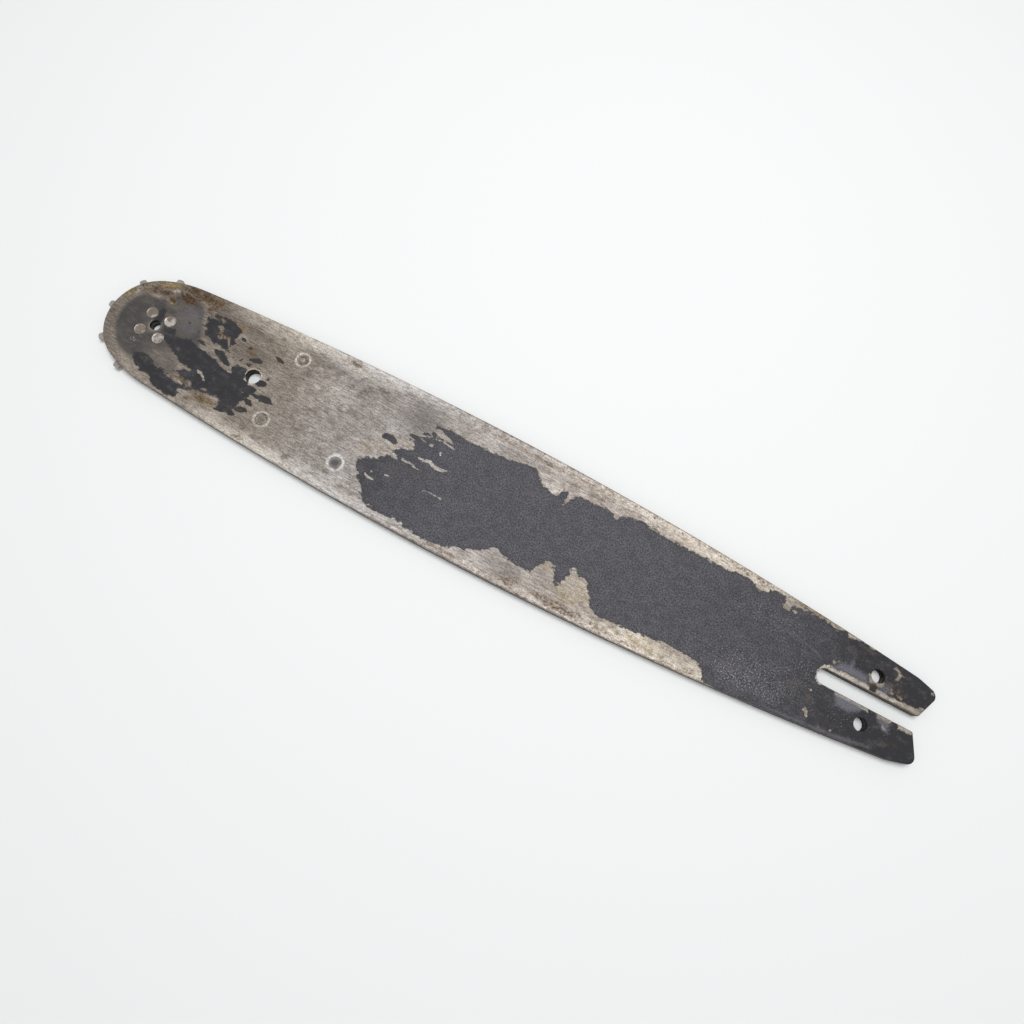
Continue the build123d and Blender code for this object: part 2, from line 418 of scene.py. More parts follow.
upper_wear = {
    "paint": [long_field, nose_patch, lower_nose_patch, upper_nose_patch, rivet_streak],
    "flecks": [
        ([(19.5, 3.3), (24.5, 2.4)], 0.9, 0.5),
        ([(29.4, 2.6), (32, 1.8), (35, 0.4), (38.4, -0.6)], 2.0, 0.1),
        ([(37.6, 8.1), (39.4, 7.5), (42.4, 7.7)], 0.45, 0.9), ([(41, 10), (43.2, 11.2)], 0.9, 0.8),
        ([(44.2, 5.7), (46.6, 6.4), (50, 7.2)], 1.0, 0.95),
        ([(54.4, 12.7), (56.4, 12.1), (58.4, 11.5)], 0.85, 0.95), ([(37.6, 3.6), (38.8, 4)], 0.6, 0.8),
        ([(41, 3.4), (42.6, 4.9)], 0.9, 0.7), ([(43.8, 3.6), (47.4, 4)], 0.6, 0.85),
        ([(48.6, 4.3), (51.4, 4.1)], 0.5, 0.9), ([(53, -1.9), (55, -1.2), (57.8, -0.3)], 1.7, 0.1),
        ([(56.2, 1.4), (57.4, 1.9)], 0.6, 0.8),
        ([(55.6, -7.5), (59, -7), (62.4, -6.6), (65, -7.1)], 1.35, 0.5),
        ([(53.4, -10.6), (57.6, -11.6)], 1.2, 0.7), ([(52, -16.4), (54, -15.4), (57, -14.9)], 1.3, 0.4),
        ([(50, -19.2), (53.4, -18.6)], 1.0, 0.3), ([(112.4, 3.3), (116, 4.2), (120.4, 3.4)], 1.4, 0.3),
        ([(131, 14.2), (133.8, 14.6)], 0.8, 0.2), ([(122.8, 9.2), (126.5, 9.7), (131, 10.4)], 1.1, 0.5),
        ([(127.4, 12.8), (131, 13)], 0.9, 0.4), ([(24, 12), (28, 10.6), (32, 9)], 2.0, 0.7),
        ([(17.8, 6.6), (18.8, 6)], 0.7, 0.7), ([(12, 8.6), (13, 7.8)], 0.8, 0.5),
        ([(21.6, 17.6), (25, 17.4), (30, 16.8), (33.6, 15.8)], 0.9, 0.6),
        ([(19.4, 17), (23, 16.7)], 0.9, 0.7), ([(80.5, 30), (83, 30.2)], 0.4, 0.9),
        ([(36.5, 13.2), (38.4, 12.6)], 0.6, 0.5), ([(-7.6, -4), (-7, -6.4)], 0.5, 0.8),
        ([(-7.6, 7.2), (-5.4, 7.8), (-2.8, 6.6)], 0.4, 0.9), ([(-6.2, -7.6), (-3.6, -7.6)], 0.4, 0.7),
    ],
    "bare": [
        [
            (314.7, 0), (315, 2.5), (316.2, 4.2), (318, 5.1), (330, 5.4), (335.8, 5.2), (336.3, 2.8),
            (317, 2.8), (315.4, 0), (316.6, -2.8), (319, -3.5), (317, -4.0), (315.4, -2.9),
        ],
        [(337.8, 2.8), (338.2, 5.3), (348, 5.2), (355, 5.4), (357.4, 7), (359.4, 6), (358, 2.8)],
        [(324, -2.8), (324.8, -4.7), (338.4, -4.6), (338.8, -2.8)],
        [(341.4, -2.8), (342.4, -4.9), (347.4, -5.2), (348.4, -2.8)],
        [(350.6, -2.8), (351, -4.8), (356.2, -4.9), (357.6, -2.8)],
    ],
    "scratches": [
        ([(24, 12.4), (25.6, 12.8), (27.6, 11.8)], 1.0),
        ([(25.4, 9.8), (27.4, 10.5), (29.4, 9.8), (31.4, 10.3), (33.5, 6.8)], 0.9),
        ([(26.4, 8.9), (29, 8.2)], 0.75), ([(28, -8.8), (30.4, -9.4), (33.4, -11.6)], 0.55),
        ([(14.6, -4), (15.8, -4.8)], 0.9), ([(20, -15.6), (26, -16.6), (31, -17.2)], 0.55),
        ([(28, -15.4), (30, -16.2)], 0.6), ([(34.5, -15.6), (36.6, -15)], 0.5),
        ([(31, 0.6), (36, -2), (40, -3.2)], 0.5), ([(50, -8.3), (52, -8.5)], 0.25),
        ([(129.5, 16.6), (133, 16.4), (136, 15.4), (140.5, 14.8)], 1.15),
        ([(127.6, 11.6), (132, 13), (137, 13.4), (143, 12.6)], 0.55),
        ([(132, 2), (137, 2.7), (141.5, 1.5), (147, 3.2)], 0.85),
        ([(125.6, -1.4), (131, -2.2), (137, -2.6)], 0.36),
        ([(139.6, -9.6), (143, -9), (149, -9.4)], 0.45), ([(125.5, 10), (131.5, 9.6)], 0.35),
        ([(133.2, 9), (134, 10)], 0.9), ([(138.8, 8.8), (138.9, 7.4)], 0.7),
        ([(114.6, -14.2), (117.2, -15.4), (120.4, -15.2)], 0.42), ([(116.6, -12.2), (117.9, -12.6)], 0.8),
        ([(122.8, -11.7), (124.4, -10.6)], 0.5), ([(121, -9), (121.4, -9.3)], 0.3),
        ([(297.6, 17.8), (298.6, 18.4)], 0.7), ([(356, 5.6), (357.6, 6.6)], 0.7),
        ([(345, -6), (346.8, -8.4)], 0.5), ([(319.2, 6.8), (320, 7.4)], 0.6),
        ([(320.6, 8), (321.8, 8.8)], 0.5),
        ([(334, 9.6), (335.2, 7.6), (337.4, 6.7), (339.8, 7.6), (340.6, 9)], 0.7),
        ([(340.6, 11.2), (340.9, 11.5)], 0.5), ([(341.4, 16), (343, 16.4), (344.8, 16)], 0.7),
        ([(344, 16), (345.4, 15), (345, 13.4), (343.8, 12)], 0.75), ([(346.6, 15), (347.2, 14.4)], 0.4),
        ([(343.6, 8.4), (344.6, 6.4)], 0.65), ([(346.4, 7.6), (348.6, 6.2)], 0.65),
        ([(343, 9.6), (344, 10.4)], 0.35), ([(346, 9), (347.4, 8.2)], 0.3),
        ([(314.8, -7), (315.2, -7.6)], 0.4), ([(315.4, -14.5), (315.9, -15.3)], 0.6),
        ([(314.9, -16.1), (316.1, -16.4)], 0.5), ([(316.4, -15.6), (317, -16.5)], 0.4),
        ([(316.6, -17.2), (317.3, -17.4)], 0.4), ([(327.4, 18.8), (327.6, 17.6)], 0.35),
        ([(322.6, -19), (323.2, -19.2)], 0.4), ([(327, -18.4), (328, -18.2)], 0.4),
        ([(272.5, -21), (273.6, -20.8)], 0.5), ([(359, 13.6), (360, 15)], 0.4),
    ],
    "faint_lines": [
        ([(300, 10), (308, 8.3), (316, 6)], 0.3, 0.8), ([(300.5, 5.4), (311, 5)], 0.25, 0.6),
        ([(282, -14.6), (289, -19)], 0.4, 0.8),
    ],
    "scuffs": [
        (
            [(319.4, 5), (322, 8.4), (325.2, 9), (326.6, 12), (327.8, 8.6), (333.4, 9), (335, 5.4)],
            1.0,
            2.6,
        ),
        ([(338, 4.6), (339.8, 7.6), (343, 9.8), (344, 6), (342, 4.6)], 0.8, 2.2),
        ([(324, -3.6), (337, -3.8), (335, -6.6), (331, -8.6), (326, -8.2)], 1.0, 2.2),
        ([(341.6, -4), (347.4, -4), (348.4, -9), (346, -8.4), (343, -6)], 0.8, 1.8),
        ([(270, -18), (292, -20), (312, -18.6), (308, -13), (288, -11)], 0.3, 8.0),
        (
            [
                (296, -22.4), (312, -20.6), (330, -18.6), (344, -16.4), (343, -17.6), (330, -20),
                (312, -22),
            ],
            0.75,
            1.4,
        ),
        (
            [
                (5, 13.5), (10, 16), (14.5, 15.5), (17, 10.5), (20.5, 5.5), (15.5, 2), (11, 0.6),
                (7.5, 4.5), (6.5, 9),
            ],
            0.4,
            4.0,
        ),
    ],
    "specks": [
        (292, -13, 24, 9, 0.6), (285, -17, 14, 5, 0.7), (308, -6, 9, 14, 0.5), (292, 12, 24, 8, 0.45),
        (340, 0, 24, 20, 0.35), (-4, -10.2, 2.6, 1.4, 0.9), (330, -12, 8, 4, 0.45),
        (300, -17, 10, 4, 0.65),
    ],
    "film": [
        (
            [
                (-17.3, 3), (-16.8, -3), (-15.3, -8), (-12.4, -12), (-9, -15), (-4, -17.2), (1, -17.6),
                (6, -15.5), (10, -16.5), (17, -17), (20.5, -15), (18.5, -10.5), (15, -7.5), (20, -3),
                (23, 0), (20.5, 5), (18.5, 8), (16.5, 12.5), (13.5, 17.5), (9, 19.5), (4, 18.8), (0, 17),
                (-4, 13), (-8, 11.4), (-13, 10.8), (-15.8, 7.4),
            ],
            1.0,
            2.0,
        ),
        (
            [
                (104, -16.5), (103.4, -15.1), (102, -14.5), (100.6, -15.1), (100, -16.5), (100.6, -17.9),
                (102, -18.5), (103.4, -17.9),
            ],
            0.9,
            1.2,
        ),
        ([(291.6, 22), (292.6, 17), (298, 17.2), (299.6, 22)], 0.35, 2.0),
    ],
    "thin": [
        (10, 9, 7, 8, 0.26), (-8.5, 12, 3.5, 1, 0.6), (-0.8, 13.2, 2.6, 2, 0.7),
        (13, -11, 7.5, 4.5, 0.55), (4, -10, 5, 3, 0.05), (-2, -1.5, 4, 3.5, 0.2),
        (0, -0.8, 2.8, 2.6, 0.55), (3, 12.5, 4, 3, 0.3), (-9, -1, 6, 8, 0.1),
    ],
    "shade": [
        (-14, 0, 12, 12, 0.42), (-12, 14, 9, 8, 0.38), (-8, -14, 14, 9, 0.3), (12, 20, 22, 7, 0.45),
        (20, 0, 36, 15, 0.3), (36, 18, 16, 3, 0.45), (64, 0, 14, 14, 0.2), (124, 17, 11, 8, 0.5),
        (28, -15.5, 8, 3, 0.4), (42, 8, 12, 5, 0.5), (60, -14, 14, 9, 0.25), (100, 5, 16, 8, 0.1),
        (76, 20.5, 12, 1.6, 0.3), (102, -16.5, 2.4, 2.4, 0.3), (65, 17, 1.7, 1.7, 0.15),
        (64.5, -15, 2.2, 2.2, 0.5), (165, 22.5, 14, 2, 0.25), (186, -23, 10, 5, 0.5),
        (204, -18, 12, 9, 0.34), (200, -24, 6, 3, 0.2), (308, 22, 12, 2, 0.45),
    ],
    "dark_rings": [
        (4.64, 4.64, 2.4, 2.9, 0.7), (-4.64, 4.64, 2.4, 2.8, 0.6), (4.64, -4.64, 2.4, 2.9, 0.8),
        (-4.64, -4.64, 2.4, 2.9, 0.7), (65, 17, 1.1, 2.2, 0.62),
    ],
    "dirt": [
        (344, 11.5, 6, 6, 0.36), (348, 7.6, 5, 1.6, 0.5), (351, -12.4, 6, 2, 0.32),
        (337.2, 5.2, 1.6, 2.2, 0.9), (329, 17, 8, 3, 0.3), (313, -11, 5, 4, 0.28), (309, -11, 6, 5, 0.22),
        (276, -13, 8, 3, 0.3), (132, -4.4, 9, 4, 0.3),
    ],
    "pale_rings": [
        (65.0, 17.0, 2.5, 3.6, 0.8), (64.5, -15.0, 2.7, 3.9, 0.65), (102.0, -16.5, 2.4, 4.0, 0.7),
        (65.2, 17.3, -1, 0.7, 0.5), (65.6, -15.3, 1.2, 1.6, 0.3), (50.6, 0, 3.1, 4.1, 0.55),
        (0, 0, 2.2, 3.3, 0.6),
    ],
    "pale": [
        (45, 24, 24, 3.5, 0.4), (86, 25, 20, 4, 0.5), (95, -25, 20, 4, 0.4), (214, -17, 8, 8, 0.28),
        (248, -23, 12, 3, 0.66), (265, 24, 22, 3, 0.7), (330, 4.3, 24, 1.4, 0.75), (331, -4, 9, 1, 0.7),
        (345, -5.5, 4, 3, 0.5), (353, -4, 4, 1, 0.6), (126, 3, 6, 8, 0.2), (344, 14, 3, 3, 0.3),
        (137, 7.5, 3.6, 1.6, 0.3), (316, 0, 1.5, 5, 0.6), (30, -10, 4, 3, 0.45), (29, 10, 3.5, 3.5, 0.15),
        (119, -14, 6, 4, 0.3), (188, 18, 6, 3, 0.35), (52, -22.5, 16, 2.5, 0.1), (72, 0, 10, 13, 0.2),
        (89, 11, 9, 10, 0.34), (115, 0, 9, 8, 0.32), (118, 11, 7, 5, 0.28), (106.5, -22.5, 5, 4, 0.45),
    ],
    "brown": [
        (9, 22, 11, 3.4, 0.75), (5, 18, 5.5, 2.4, 0.8), (-6.5, 15.6, 6, 3, 0.5),
        (-13.5, 13.5, 5, 4, 0.42), (18, 21, 3, 3.6, 0.7), (22, 17.5, 5, 2, 0.4), (34, 18, 5, 3.6, 0.4),
        (190, -26, 9, 2.6, 0.4), (213, -26.4, 13, 1.6, 0.75), (248, -24.8, 9, 1.6, 0.4),
        (86.5, 27, 5, 1.8, 0.6), (60, -26.6, 3.4, 1.4, 0.6), (166, 27, 18, 1.4, 0.5),
        (180, 26.5, 7, 1.2, 0.55), (204, 27.4, 8, 1.6, 0.5), (275, 24.4, 9, 1.4, 0.55),
        (230, -26, 8, 2.6, 0.55), (54, 25.4, 7, 1.2, 0.35), (43.6, 9, 4, 3, 0.45), (29, 10, 5, 4, 0.62),
        (39, -19, 6, 2, 0.55), (25, -16, 7, 1.6, 0.38), (138, 8.4, 8, 6, 0.3), (47.6, -4.2, 2.6, 1, 0.7),
        (346, 4.2, 12, 1, 0.25), (322, 7.5, 3, 1.8, 0.5), (160, -28, 10, 1.2, 0.6),
        (132, -28.4, 14, 1, 0.4), (70, -0.4, 2, 1.6, 0.4), (215, -19, 9, 6, 0.15), (65, 17, 2, 2, 0.1),
        (316, -15.8, 2, 2, 0.5), (88, -28, 10, 1, 0.4), (320, 4.4, 6, 1, 0.4),
    ],
    "ochre": [
        (4, 22.2, 6, 1.4, 0.4), (39.5, -19.2, 5, 2.4, 0.65), (25, -16, 6, 1.2, 0.4), (27, 11, 4, 3, 0.3),
        (44.4, 9.8, 2.4, 1.8, 0.5), (321, 8, 2.4, 1.6, 0.75), (35, 17, 3, 3, 0.4),
        (31.5, -17, 4, 1.2, 0.38), (36, -21, 7, 1.6, 0.45), (310, 22.4, 12, 1.2, 0.5),
        (126, 4, 7, 3.4, 0.4), (214, -18, 10, 8, 0.47), (200, -13.4, 4, 3, 0.42), (248, -23, 12, 3, 0.5),
        (205, 26, 20, 2.4, 0.35), (272, 24, 14, 2, 0.3), (88, 26, 6, 2, 0.35), (54, 25, 8, 1.6, 0.35),
    ],
    "pale_strokes": [
        ([(-19, 6.2), (-18.2, 7.8)], 0.8, 0.8), ([(-17.6, 9.2), (-16, 11.2)], 0.8, 0.7),
        ([(-14.8, 14.6), (-11, 16.6)], 0.9, 0.6),
        ([(-10.4, 11.6), (-8.4, 12.2), (-5.8, 12.8)], 0.55, 0.5),
        ([(-8.6, 19.6), (-5, 20.6), (-1.8, 21.2)], 0.5, 0.9),
        ([(-3.2, 17.4), (-1.6, 18.8), (0, 18.8)], 0.9, 0.7), ([(-0.6, 12.1), (0.4, 12.5)], 0.55, 1.0),
        ([(7.8, 24), (9.4, 21.6)], 0.8, 0.7), ([(11.4, 19.8), (12.6, 19.6)], 0.5, 0.9),
        ([(21.5, -16.6), (26.5, -17.4)], 0.5, 0.8), ([(27.6, -15.2), (30.6, -16.6)], 0.6, 0.5),
        ([(197, 21), (203, 21.4)], 0.5, 0.5), ([(200, -22), (216, -22.4)], 0.4, 0.6),
        ([(76, 9), (79, 9.2)], 0.35, 0.8), ([(82, 12.4), (86, 12.6)], 0.35, 0.8),
        ([(88, 6.8), (91, 7)], 0.35, 0.8), ([(73, 13.6), (75, 13.7)], 0.35, 0.7),
        ([(80, 5), (82.4, 5.1)], 0.3, 0.7), ([(85, 15.8), (88.5, 16)], 0.3, 0.7),
    ],
    "brown_strokes": [
        ([(-12.6, 15.6), (-10.6, 14.2), (-8.4, 13.4)], 1.4, 0.7),
        ([(-8.2, 14.6), (-5, 15.8), (-1.8, 16.8)], 1.3, 0.8),
        ([(-9.4, 16.2), (-5.6, 18.2), (-2.4, 19.8)], 0.5, 0.85),
        ([(-2.6, 14.4), (-0.6, 13.9), (1, 13.2)], 1.2, 0.9), ([(-1.6, 17.2), (-0.4, 17.6)], 0.55, 0.8),
        ([(1.2, 18.8), (5, 17.2), (9.4, 16.8)], 1.8, 0.8), ([(2.6, 24), (5, 22), (6.8, 19.8)], 0.7, 0.85),
        ([(6.4, 23.6), (8.4, 21)], 0.7, 0.8), ([(8.6, 20.2), (12, 21.6), (15, 20.6)], 1.3, 0.75),
        ([(12, 24.8), (17, 25.4)], 0.6, 1.0), ([(14.4, 18.8), (17.2, 17), (19, 15.4)], 1.2, 0.6),
        ([(-17.6, 13.8), (-16.4, 14.4)], 0.8, 0.75), ([(-18, 10.2), (-17, 10.8)], 0.6, 0.75),
        ([(-19.4, 8.4), (-18.8, 9.2)], 0.6, 0.65),
        ([(-20.8, 6.5), (-19.8, 9.4), (-17.8, 12.2)], 0.6, 0.5),
        ([(-10.4, 18.8), (-6, 21), (-2, 22.4)], 0.6, 0.6),
        ([(196, -25.2), (208, -25.8), (223, -25.2)], 2.0, 0.6), ([(185, -26), (192, -27)], 1.6, 0.6),
        ([(182, 27.4), (190, 26.6), (199, 27.4)], 0.9, 0.5), ([(192, 23.4), (200, 23)], 1.2, 0.45),
        ([(203, 23), (210, 22.6)], 1.0, 0.45), ([(176, 27), (182, 27.4)], 0.8, 0.6),
        ([(338.6, 8.2), (340.4, 9.8)], 0.7, 0.8), ([(345.4, 7.6), (347.6, 6.6)], 0.7, 0.8),
    ],
    "ochre_strokes": [
        ([(-9.6, 17.8), (-6, 19.4), (-3, 20.6), (-0.8, 21.6)], 1.8, 0.95),
        ([(-14, 14.4), (-11.2, 16.6)], 1.5, 0.5), ([(-20.2, 5.5), (-19, 8.2), (-17.4, 10.6)], 2.0, 0.75),
        ([(-16.4, 11.4), (-14, 13.4)], 1.5, 0.55), ([(-1.6, 13.6), (-0.2, 12.8), (0.8, 13.6)], 1.1, 0.95),
        ([(1.4, 12.6), (2.4, 16)], 0.9, 0.5), ([(14, 22.5), (18, 22.6), (20.8, 22)], 2.6, 0.55),
        ([(2, 23.6), (5, 20.6)], 0.9, 0.6), ([(10, 22), (14, 20.6)], 1.2, 0.5),
        ([(303, 21.7), (313, 21.3)], 0.8, 0.6), ([(319.2, 7), (320.4, 7.6), (321.8, 8.6)], 0.9, 0.7),
        ([(106, -8), (112, -3), (122, 5)], 4.0, 0.42),
    ],
    "dust": (
        [0, 70, 115, 150, 250, 300, 318, 336, 362],
        [0.06, 0.08, 0.58, 0.84, 0.82, 0.68, 0.32, 0.02, 0.0],
    ),
    "coolness": ([55, 95, 125, 170, 215, 245], [0.0, 0.8, 1.0, 0.8, 0.5, 0.0]),
    "rail_reach": 6.0,
    "rail_pale": (
        [-5, 15, 30, 60, 110, 150, 190, 240, 290, 320, 345],
        [0.0, 0.1, 0.35, 0.85, 0.65, 0.35, 0.45, 0.8, 0.75, 0.4, 0.15],
    ),
    "rail_brown": ([-5, 60, 120, 160, 200, 290, 320], [0.1, 0.15, 0.2, 0.4, 0.45, 0.45, 0.3]),
}


def worn_paint(name):
    """Charcoal paint worn through to ground steel: grey dusty paint, pale or stained metal, a film of oil,
    and walls painted dark as shade.

    The mesh's corners store where each of them lies, and patterns of noise break up their edges.
    """
    material = new_material(name)
    place = add_node(material, "TexCoord", {}, out="Object")
    in_mm = add_node(material, "VectorMath", {0: place, "Scale": 1 / MM}, operation="SCALE")
    layers = {}
    for layer in (
        "paint_depth", "dust", "coolness", "scuff", "specks", "film", "shade", "pale", "brown", "ochre",
        "flecks", "grime", "inner",
    ):
        layers[layer] = add_node(material, "Attribute", {}, out="Fac", attribute_name=layer)

    # Patterns with the size of their grains in mm, their stretch along the bar and their finer detail
    # Real speckle and grinding marks are finer than a pixel, so the last three are drawn coarser, to show
    patterns = {}
    sizes = {
        "flakes": (3.0, 3.6, 6.0), "blotches": (9.0, 1.4, 4.0), "mottle": (3.0, 1.3, 6.0),
        "rust": (2.1, 1.4, 6.0), "crumbs": (1.0, 1.2, 4.0), "streaks": (0.7, 8.0, 4.0),
        "scores": (0.55, 5.0, 2.0), "hairlines": (0.35, 14.0, 3.0), "speckle": (0.6, 1.0, 1.0),
    }
    for pattern, (size, stretch, detail) in sizes.items():
        along = add_node(material, "VectorMath", {0: in_mm, 1: (1 / stretch, 1, 1)}, operation="MULTIPLY")
        patterns[pattern] = add_node(
            material, "TexNoise", {"Vector": along, "Scale": 1 / size, "Detail": detail, "Roughness": 0.65}
        )

    def lay_over(below, layer, pattern, breakup, low, high, strength, colour):
        """Lays a colour over what is below; the layer, broken up by a pattern, counts from low to high."""
        broken = add_node(
            material, "Math", {0: patterns[pattern], 1: breakup, 2: layers[layer]}, operation="MULTIPLY_ADD"
        )
        amount = add_node(
            material,
            "MapRange",
            {
                "Value": broken,
                "From Min": low + breakup / 2,
                "From Max": high + breakup / 2,
                "To Max": strength,
            },
        )
        return add_node(material, "Mix", {0: amount, 6: below, 7: linear(colour)}, out=2, data_type="RGBA")

    # Ragged edge of the film of paint, shifted by each pattern by up to so many mm
    depth = layers["paint_depth"]
    for pattern, reach in (("flakes", 2.6), ("rust", 1.8), ("crumbs", 1.2)):
        shift = add_node(
            material, "MapRange", {"Value": patterns[pattern], "To Min": -reach, "To Max": reach}
        )
        depth = add_node(material, "Math", {0: depth, 1: shift}, operation="ADD")
    painted = add_node(
        material,
        "MapRange",
        {"Value": depth, "From Min": -0.3, "From Max": 0.3},
        interpolation_type="SMOOTHSTEP",
    )

    # Bare steel, mottled and drawn out along the bar
    lengthwise = add_node(material, "Mix", {0: 0.5, 2: patterns["mottle"], 3: patterns["streaks"]})
    spotted = add_node(material, "Mix", {0: 0.45, 2: patterns["blotches"], 3: patterns["crumbs"]})
    tone = add_node(material, "Mix", {0: 0.45, 2: lengthwise, 3: spotted})
    surface = add_node(material, "ValToRGB", {"Fac": tone})
    ramp = surface.node.color_ramp
    ramp.elements[0].position, ramp.elements[0].color = 0.40, linear("#695f56")
    ramp.elements[1].position, ramp.elements[1].color = 0.61, linear("#b4a99e")
    ramp.elements.new(0.5).color = linear("#90867b")

    # Rubbing, film and stains on the steel, which is also a little paler right beside the paint
    halo = add_node(material, "MapRange", {"Value": depth, "From Min": -1.3, "From Max": -0.2, "To Max": 0.1})
    layers["pale"] = add_node(material, "Math", {0: layers["pale"], 1: halo}, operation="ADD")
    for stain in (
        ("pale", "mottle", 1.6, 0.15, 1.05, 0.9, "#cdc4b7"),
        ("pale", "hairlines", 2.0, 0.4, 0.8, 0.5, "#d8d0c4"),
        ("shade", "mottle", 0.8, 0.05, 1.05, 0.8, "#453e38"),
        ("shade", "crumbs", 2.4, 0.35, 0.9, 0.5, "#43392f"),
        ("film", "mottle", 1.3, 0.05, 1.2, 1.0, "#424143"),
        ("ochre", "rust", 2.0, 0.25, 1.0, 0.85, "#847044"),
        ("ochre", "crumbs", 2.6, 0.7, 1.2, 0.5, "#b5a277"),
        ("brown", "rust", 2.0, 0.25, 0.9, 0.75, "#6c5338"),
        ("brown", "crumbs", 2.6, 0.45, 1.0, 0.85, "#3a2a1d"),
    ):
        surface = lay_over(surface, *stain)

    # Grain of the ground steel, which the oil film hides, and a bluer cast along the middle of the bar
    cool_tint = (0.96, 1.01, 1.13, 1.0)
    fine = add_node(material, "Mix", {0: 0.5, 2: patterns["speckle"], 3: patterns["scores"]})
    grain = add_node(
        material,
        "MapRange",
        {"Value": fine, "From Min": 0.25, "From Max": 0.75, "To Min": 0.3, "To Max": 1.7},
    )
    grain = add_node(material, "Mix", {0: layers["film"], 2: grain, 3: 1.0})
    surface = add_node(material, "VectorMath", {0: surface, "Scale": grain}, operation="SCALE")
    surface = add_node(
        material,
        "Mix",
        {0: layers["coolness"], 6: surface, 7: cool_tint},
        out=2,
        data_type="RGBA",
        blend_type="MULTIPLY",
    )

    # Paint: black where it is clean, grey with dust elsewhere, and speckled; browner where it is worn thin
    dusty = add_node(material, "ValToRGB", {"Fac": patterns["speckle"]})
    ramp = dusty.node.color_ramp
    ramp.elements[0].position, ramp.elements[0].color = 0.32, linear("#2f2e35")
    ramp.elements[1].position, ramp.elements[1].color = 0.68, linear("#6d6c72")
    uneven = add_node(
        material,
        "MapRange",
        {"Value": patterns["mottle"], "From Min": 0.3, "From Max": 0.7, "To Min": -0.3, "To Max": 0.3},
    )
    dust = add_node(material, "Math", {0: layers["dust"], 1: uneven}, operation="ADD", use_clamp=True)
    paint = add_node(material, "Mix", {0: dust, 6: linear("#2e2e31"), 7: dusty}, out=2, data_type="RGBA")
    thin_paint = add_node(
        material,
        "Mix",
        {0: patterns["crumbs"], 6: linear("#272423"), 7: linear("#4b423d")},
        out=2,
        data_type="RGBA",
    )
    worn_edge = add_node(
        material,
        "MapRange",
        {"Value": depth, "From Min": 0.0, "From Max": 1.2, "To Min": 0.6, "To Max": 0.0},
    )
    thinness = add_node(material, "Math", {0: layers["flecks"], 1: worn_edge}, operation="MAXIMUM")
    paint = add_node(material, "Mix", {0: thinness, 6: paint, 7: thin_paint}, out=2, data_type="RGBA")
    surface = add_node(material, "Mix", {0: painted, 6: surface, 7: paint}, out=2, data_type="RGBA")

    # Scuffs, pale specks and grime, over paint and steel alike
    for mark in (
        ("scuff", "mottle", 1.4, 0.1, 0.9, 0.75, "#636269"),
        ("scuff", "speckle", 2.4, 0.55, 1.2, 0.5, "#7d7c84"),
        ("specks", "speckle", 3.2, 0.85, 1.4, 0.75, "#a9a8ac"),
        ("grime", "mottle", 2.4, 0.2, 0.8, 0.7, "#554a3f"),
        ("grime", "crumbs", 1.4, 0.45, 0.8, 0.8, "#2b2520"),
    ):
        surface = lay_over(surface, *mark)

    # Walls: near-black in the slot and the holes, painted shade over their oil; on the outer edges rubbed
    # dull steel, painted darker than the rail tops as shade along the groove
    normal = add_node(material, "TexCoord", {}, out="Normal")
    upright = add_node(material, "SeparateXYZ", {"Vector": normal}, out="Z")
    slope = add_node(material, "Math", {0: upright}, operation="ABSOLUTE")
    wall = add_node(material, "MapRange", {"Value": slope, "From Min": 0.9, "From Max": 0.5})
    wall_steel_painted_darker = add_node(
        material,
        "Mix",
        {0: patterns["mottle"], 6: linear("#39332c"), 7: linear("#80766a")},
        out=2,
        data_type="RGBA",
    )
    wall_colour = add_node(
        material, "Mix", {0: layers["inner"], 6: wall_steel_painted_darker, 7: linear("#14110f")}, out=2, data_type="RGBA"
    )
    surface = add_node(material, "Mix", {0: wall, 6: surface, 7: wall_colour}, out=2, data_type="RGBA")

    # Sheen and relief: dull paint that stands a little above brighter, finely scored steel
    relief_mm = 0.05
    metal = add_node(material, "MapRange", {"Value": painted, "To Min": 0.35, "To Max": 0.0})
    dullness = add_node(material, "MapRange", {"Value": painted, "To Min": 0.48, "To Max": 0.62})
    height = add_node(
        material, "Math", {0: patterns["streaks"], 1: 0.25, 2: painted}, operation="MULTIPLY_ADD"
    )
    relief = add_node(material, "Bump", {"Height": height, "Distance": relief_mm * MM, "Strength": 0.8})
    shader = add_node(
        material,
        "BsdfPrincipled",
        {
            "Base Color": surface, "Roughness": dullness, "Metallic": metal, "Normal": relief,
            "Specular IOR Level": 0.25,
        },
    )
    add_node(material, "OutputMaterial", {"Surface": shader})
    return material


plate_finish = worn_paint("worn_charcoal_paint")

# Distance in mm between the cuts that let the face carry its wear
UPPER_GRID = 0.6
upper_plate = copy_node("upper_side_plate", "upper_plate")
divide_face(upper_plate, *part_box("upper_side_plate"), UPPER_GRID, 1)
lay_wear(upper_plate, upper_wear)
dress(upper_plate, plate_finish)
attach(upper_plate, "bar")
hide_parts("upper_side_plate")

